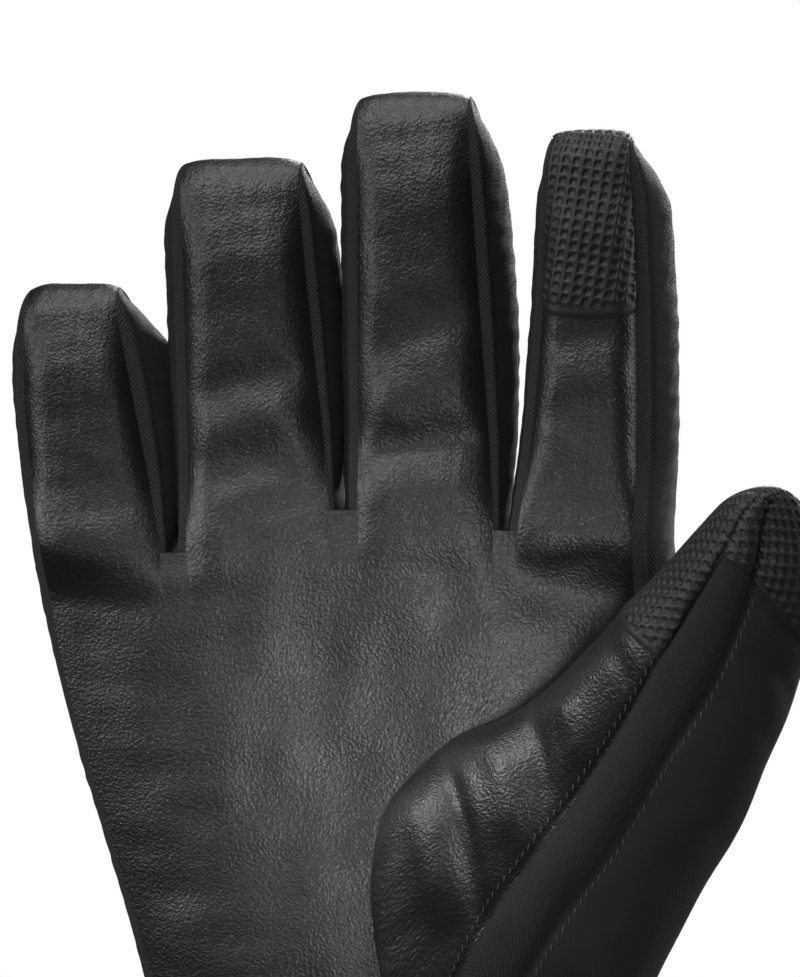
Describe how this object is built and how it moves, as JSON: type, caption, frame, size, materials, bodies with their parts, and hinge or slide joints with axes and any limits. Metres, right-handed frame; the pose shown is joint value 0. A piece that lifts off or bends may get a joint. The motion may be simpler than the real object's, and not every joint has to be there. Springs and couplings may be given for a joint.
{
  "type": "ski glove",
  "caption": "Black insulated ski glove for the right hand, leather palm, box fingers with twill gussets, fleece-lined gauntlet cuff, standing on its hem.",
  "frame": {"origin": "centre of the cuff's opening, on the plane of the hem", "axes": "+Z from hem to fingertips, -Y out of the palm, +X to the thumb side"},
  "size_m": [0.1624, 0.1101, 0.2858],
  "materials": {
    "leather": "black pebble-grain PU leather",
    "twill": "black diagonal twill",
    "nylon": "black fine-ribbed nylon shell",
    "grip": "embossed grid grip patch",
    "padding": "fibre padding",
    "membrane": "waterproof film",
    "lining": "brushed fleece",
    "elastic": "gathered elastic",
    "webbing": "woven webbing",
    "hook_loop": "hook and loop",
    "plastic": "moulded nylon plastic"
  },
  "bodies": {
    "cuff": {"gauntlet_shell": "nylon", "gauntlet_lining": "lining", "hem_binding": "webbing", "wrist_elastic": "elastic", "strap": "webbing", "strap_loop_field": "hook_loop", "strap_ring": "plastic", "clip_loop": "webbing"},
    "hand": {"palm_leather": "leather", "hand_back": "nylon", "hand_padding": "padding", "waterproof_membrane": "membrane", "hand_lining": "lining"},
    "tab": {"strap_tab": "webbing", "tab_hook_patch": "hook_loop"},
    "clip": {"pairing_clip": "plastic"},
    "little_lower": {"little_lower_leather": "leather", "little_lower_back": "nylon", "little_lower_gussets": "twill", "little_lower_liner": "padding"},
    "little_upper": {"little_upper_leather": "leather", "little_upper_back": "nylon", "little_upper_gussets": "twill", "little_upper_liner": "padding"},
    "ring_lower": {"ring_lower_leather": "leather", "ring_lower_back": "nylon", "ring_lower_gussets": "twill", "ring_lower_liner": "padding"},
    "ring_upper": {"ring_upper_leather": "leather", "ring_upper_back": "nylon", "ring_upper_gussets": "twill", "ring_upper_liner": "padding"},
    "middle_lower": {"middle_lower_leather": "leather", "middle_lower_back": "nylon", "middle_lower_gussets": "twill", "middle_lower_liner": "padding"},
    "middle_upper": {"middle_upper_leather": "leather", "middle_upper_back": "nylon", "middle_upper_gussets": "twill", "middle_upper_liner": "padding"},
    "index_lower": {"index_lower_leather": "leather", "index_lower_back": "nylon", "index_lower_gussets": "twill", "index_lower_liner": "padding"},
    "index_upper": {"index_upper_leather": "leather", "index_upper_back": "nylon", "index_upper_gussets": "twill", "index_upper_liner": "padding", "index_touch_patch": "grip"},
    "thumb_lower": {"thumb_lower_leather": "leather", "thumb_lower_back": "nylon", "thumb_lower_gussets": "twill", "thumb_lower_liner": "padding"},
    "thumb_upper": {"thumb_upper_leather": "leather", "thumb_upper_back": "nylon", "thumb_upper_gussets": "twill", "thumb_upper_liner": "padding", "thumb_touch_patch": "grip"}
  },
  "joints": [
    {"name": "wrist_bend", "type": "hinge", "parent": "cuff", "child": "hand", "pos_m": [0, 0, 0.088], "axis": [1, 0, 0], "range_deg": [-25, 25], "deforming": ["wrist_elastic"]},
    {"name": "little_knuckle_bend", "type": "hinge", "parent": "hand", "child": "little_lower", "pos_m": [-0.0589, -0.003, 0.197], "axis": [0.9945, 0, 0.1045], "range_deg": [0, 60], "deforming": ["little_lower_leather"]},
    {"name": "little_middle_bend", "type": "hinge", "parent": "little_lower", "child": "little_upper", "pos_m": [-0.06162, -0.003, 0.22286], "axis": [0.9945, 0, 0.1045], "range_deg": [0, 65], "deforming": ["little_lower_leather"]},
    {"name": "ring_knuckle_bend", "type": "hinge", "parent": "hand", "child": "ring_lower", "pos_m": [-0.0272, -0.003, 0.204], "axis": [0.9986, 0, 0.0523], "range_deg": [0, 60], "deforming": ["ring_lower_leather"]},
    {"name": "ring_middle_bend", "type": "hinge", "parent": "ring_lower", "child": "ring_upper", "pos_m": [-0.02898, -0.003, 0.23795], "axis": [0.9986, 0, 0.0523], "range_deg": [0, 65], "deforming": ["ring_lower_leather"]},
    {"name": "middle_knuckle_bend", "type": "hinge", "parent": "hand", "child": "middle_lower", "pos_m": [0.0058, -0.003, 0.205], "axis": [0.9983, 0, 0.0576], "range_deg": [0, 60], "deforming": ["middle_lower_leather"]},
    {"name": "middle_middle_bend", "type": "hinge", "parent": "middle_lower", "child": "middle_upper", "pos_m": [0.00361, -0.003, 0.24294], "axis": [0.9983, 0, 0.0576], "range_deg": [0, 65], "deforming": ["middle_lower_leather"]},
    {"name": "index_knuckle_bend", "type": "hinge", "parent": "hand", "child": "index_lower", "pos_m": [0.0382, -0.003, 0.201], "axis": [0.9998, 0, -0.0209], "range_deg": [0, 60], "deforming": ["index_lower_leather"]},
    {"name": "index_middle_bend", "type": "hinge", "parent": "index_lower", "child": "index_upper", "pos_m": [0.03895, -0.003, 0.23699], "axis": [0.9998, 0, -0.0209], "range_deg": [0, 65], "deforming": ["index_lower_leather"]},
    {"name": "thumb_spread", "type": "hinge", "parent": "hand", "child": "thumb_lower", "pos_m": [0.02804, -0.02762, 0.14911], "axis": [0.0508, 0.9043, 0.4239], "range_deg": [-25, 14], "deforming": ["thumb_lower_leather"]},
    {"name": "thumb_curl", "type": "hinge", "parent": "thumb_lower", "child": "thumb_upper", "pos_m": [0.04973, -0.04185, 0.17687], "axis": [0.0508, 0.9043, 0.4239], "range_deg": [-45, 0], "deforming": ["thumb_lower_leather"]},
    {"name": "tab_peel", "type": "hinge", "parent": "cuff", "child": "tab", "pos_m": [0.02, 0.03351, 0.05878], "axis": [0, 0.1703, -0.9854], "range_deg": [0, 150]},
    {"name": "clip_swing", "type": "hinge", "parent": "cuff", "child": "clip", "pos_m": [0.06118, 0, 0.04277], "axis": [0, -1, 0], "range_deg": [-5, 75]}
  ]
}
